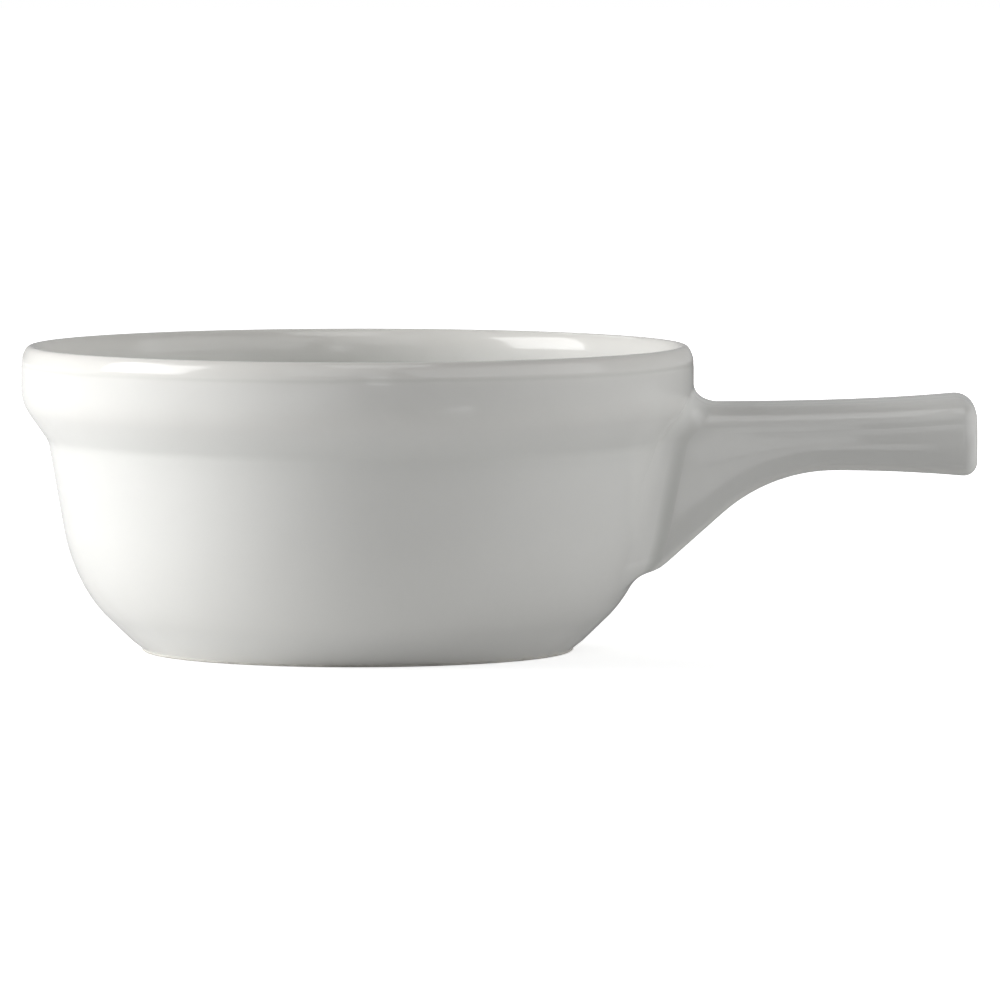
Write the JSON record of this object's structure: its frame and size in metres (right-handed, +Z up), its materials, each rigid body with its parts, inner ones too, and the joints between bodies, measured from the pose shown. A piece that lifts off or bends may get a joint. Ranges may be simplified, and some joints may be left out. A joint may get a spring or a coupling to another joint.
{
  "type": "mini casserole dish",
  "caption": "Round white glazed china bowl with a thick rim band, a foot ring and a solid stick handle luted to its side, for baking and serving a single portion.",
  "frame": {"origin": "on the surface that the dish stands on, at the middle of its overall length from the rim to the handle's end", "axes": "+X towards the handle's end, +Y across the bowl, +Z up"},
  "size_m": [0.1802, 0.127, 0.0578],
  "materials": {
    "bowl_glaze": "glossy white glaze over vitrified china, foot ring bare",
    "handle_glaze": "glossy white glaze over vitrified china",
    "luting_slip_glaze": "glossy white glaze, pooled a little in the cove"
  },
  "bodies": {
    "root": {"bowl": "bowl_glaze", "handle": "handle_glaze", "luting_slip": "luting_slip_glaze"}
  },
  "joints": []
}
